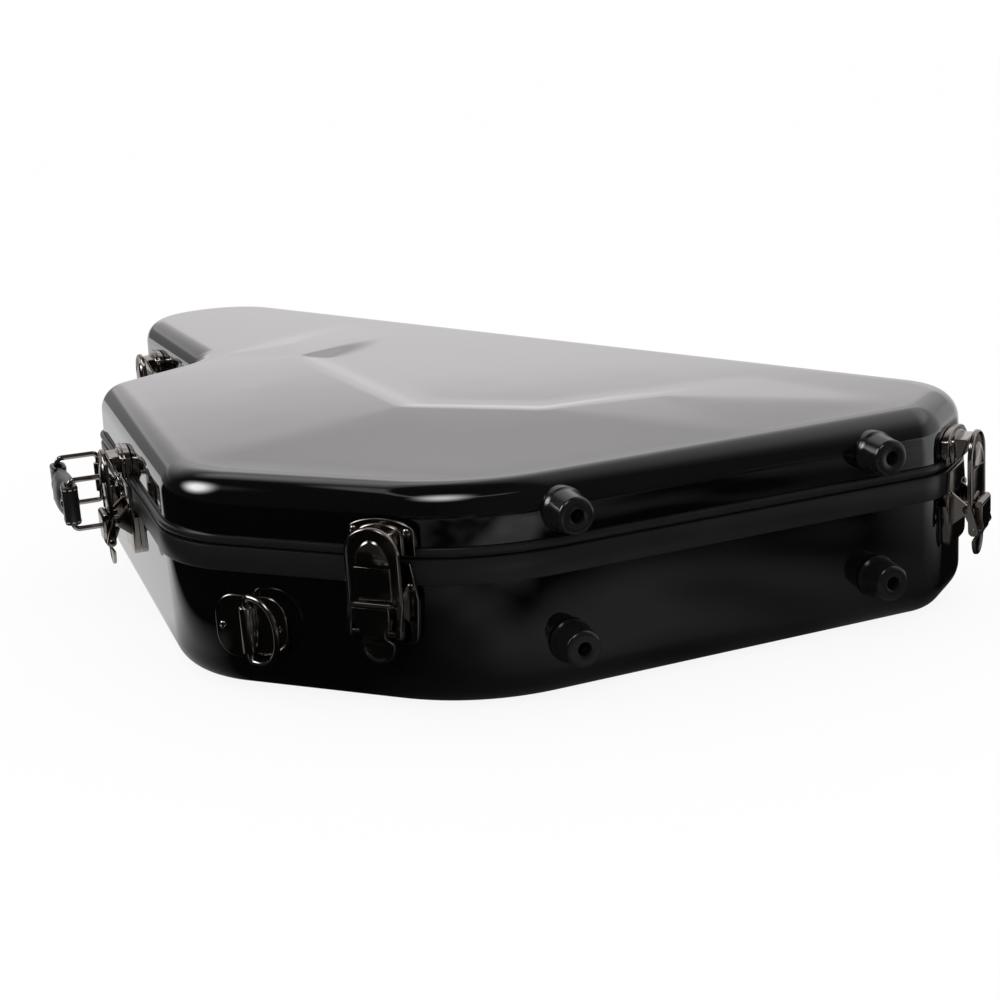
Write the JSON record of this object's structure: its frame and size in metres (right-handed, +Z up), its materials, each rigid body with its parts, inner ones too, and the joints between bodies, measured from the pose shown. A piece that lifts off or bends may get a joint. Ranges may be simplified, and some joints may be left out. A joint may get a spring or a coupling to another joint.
{
  "type": "moulded instrument case",
  "caption": "Hard moulded instrument case: two deep shells hinged along the straight side, held shut by lever latches, with a handle, feet and strap rings.",
  "frame": {"origin": "middle of the outline's length and width, on the flat underside of the base", "axes": "+X along the long hinged side towards the wide end, +Y towards the hinges, +Z up out of the base"},
  "size_m": [0.8902, 0.4808, 0.148],
  "materials": {
    "shell": "glossy black moulded shell",
    "rim_band": "satin black rim",
    "seal": "matt black",
    "hardware": "black nickel",
    "foot": "glossy black",
    "leather": "black leather",
    "lining": "black plush over foam"
  },
  "bodies": {
    "base": {"base_floor_pad": "lining", "base_lining": "lining", "base_rim_band": "rim_band", "base_shell": "shell", "foot_base_inner": "foot", "foot_base_outer": "foot", "foot_screw_base_inner": "hardware", "foot_screw_base_outer": "hardware", "handle_bracket_latch": "hardware", "handle_bracket_lobe": "hardware", "hinge_1_base_leaf": "hardware", "hinge_1_pin": "hardware", "hinge_2_base_leaf": "hardware", "hinge_2_pin": "hardware", "hinge_3_base_leaf": "hardware", "hinge_3_pin": "hardware", "latch_end_base_plate": "hardware", "latch_front_base_plate": "hardware", "latch_side_base_plate": "hardware", "latch_tail_base_plate": "hardware", "neck_cradle": "lining", "rim_seal": "seal", "strap_ring_plate_front": "hardware", "strap_ring_plate_tail": "hardware"},
    "lid": {"foot_lid_inner": "foot", "foot_lid_outer": "foot", "foot_screw_lid_inner": "hardware", "foot_screw_lid_outer": "hardware", "hinge_1_lid_leaf": "hardware", "hinge_2_lid_leaf": "hardware", "hinge_3_lid_leaf": "hardware", "latch_end_keeper": "hardware", "latch_front_keeper": "hardware", "latch_side_keeper": "hardware", "latch_tail_keeper": "hardware", "lid_lining": "lining", "lid_rim_bead": "rim_band", "lid_shell": "shell", "lid_top_pad": "lining"},
    "latch_front_lever": {"latch_front_lever": "hardware"},
    "latch_front_strap": {"latch_front_strap": "hardware"},
    "latch_side_lever": {"latch_side_lever": "hardware"},
    "latch_side_strap": {"latch_side_strap": "hardware"},
    "latch_tail_lever": {"latch_tail_lever": "hardware"},
    "latch_tail_strap": {"latch_tail_strap": "hardware"},
    "latch_end_lever": {"latch_end_lever": "hardware"},
    "latch_end_strap": {"latch_end_strap": "hardware"},
    "strap_ring_front": {"strap_ring_front": "hardware"},
    "strap_ring_tail": {"strap_ring_tail": "hardware"},
    "handle_ring_lobe": {"handle_ring_lobe": "hardware"},
    "handle_ring_latch": {"handle_ring_latch": "hardware"},
    "handle_grip": {"handle_grip": "leather"}
  },
  "joints": [
    {"name": "lid_hinge", "type": "hinge", "parent": "base", "child": "lid", "pos_m": [0, 0.2449, 0.101], "axis": [-1, 0, 0], "range_deg": [0, 100]},
    {"name": "latch_front_lever_pivot", "type": "hinge", "parent": "base", "child": "latch_front_lever", "pos_m": [0.25698, -0.1983, 0.072], "axis": [-0.944, -0.3299, 0], "range_deg": [0, 135]},
    {"name": "latch_front_strap_pivot", "type": "hinge", "parent": "latch_front_lever", "child": "latch_front_strap", "pos_m": [0.25876, -0.2034, 0.058], "axis": [-0.944, -0.3299, 0], "range_deg": [-156, 0]},
    {"name": "latch_side_lever_pivot", "type": "hinge", "parent": "base", "child": "latch_side_lever", "pos_m": [-0.06907, -0.16677, 0.072], "axis": [-0.8939, 0.4483, 0], "range_deg": [0, 135]},
    {"name": "latch_side_strap_pivot", "type": "hinge", "parent": "latch_side_lever", "child": "latch_side_strap", "pos_m": [-0.07149, -0.17159, 0.058], "axis": [-0.8939, 0.4483, 0], "range_deg": [-156, 0]},
    {"name": "latch_tail_lever_pivot", "type": "hinge", "parent": "base", "child": "latch_tail_lever", "pos_m": [-0.36133, 0.07467, 0.072], "axis": [-0.9193, 0.3935, 0], "range_deg": [0, 135]},
    {"name": "latch_tail_strap_pivot", "type": "hinge", "parent": "latch_tail_lever", "child": "latch_tail_strap", "pos_m": [-0.36345, 0.0697, 0.058], "axis": [-0.9193, 0.3935, 0], "range_deg": [-156, 0]},
    {"name": "latch_end_lever_pivot", "type": "hinge", "parent": "base", "child": "latch_end_lever", "pos_m": [0.44017, 0.18248, 0.072], "axis": [0.2846, -0.9587, 0], "range_deg": [0, 135]},
    {"name": "latch_end_strap_pivot", "type": "hinge", "parent": "latch_end_lever", "child": "latch_end_strap", "pos_m": [0.44534, 0.18402, 0.058], "axis": [0.2846, -0.9587, 0], "range_deg": [-156, 0]},
    {"name": "strap_ring_front_pivot", "type": "hinge", "parent": "base", "child": "strap_ring_front", "pos_m": [0.15707, -0.22298, 0.04595], "axis": [0.0032, -0.0093, 1], "range_deg": [-147, 3]},
    {"name": "strap_ring_tail_pivot", "type": "hinge", "parent": "base", "child": "strap_ring_tail", "pos_m": [-0.29461, 0.05662, 0.04595], "axis": [-0.0039, -0.009, 1], "range_deg": [-147, 3]},
    {"name": "handle_ring_lobe_pivot", "type": "hinge", "parent": "base", "child": "handle_ring_lobe", "pos_m": [-0.17525, -0.10635, 0.075], "axis": [0, 0, 1], "range_deg": [-55, 40]},
    {"name": "handle_ring_latch_pivot", "type": "hinge", "parent": "base", "child": "handle_ring_latch", "pos_m": [-0.10375, -0.14222, 0.075], "axis": [0, 0, 1], "range_deg": [-55, 40]},
    {"name": "handle_grip_pivot", "type": "hinge", "parent": "handle_ring_lobe", "child": "handle_grip", "pos_m": [-0.1896, -0.13496, 0.075], "axis": [0, 0, 1], "range_deg": [-40, 55]}
  ],
  "couplings": [
    {"joint": "latch_front_strap_pivot", "follows": "latch_front_lever_pivot", "ratio": -1.15},
    {"joint": "latch_side_strap_pivot", "follows": "latch_side_lever_pivot", "ratio": -1.15},
    {"joint": "latch_tail_strap_pivot", "follows": "latch_tail_lever_pivot", "ratio": -1.15},
    {"joint": "latch_end_strap_pivot", "follows": "latch_end_lever_pivot", "ratio": -1.15},
    {"joint": "handle_ring_latch_pivot", "follows": "handle_ring_lobe_pivot", "ratio": 1},
    {"joint": "handle_grip_pivot", "follows": "handle_ring_lobe_pivot", "ratio": -1}
  ]
}
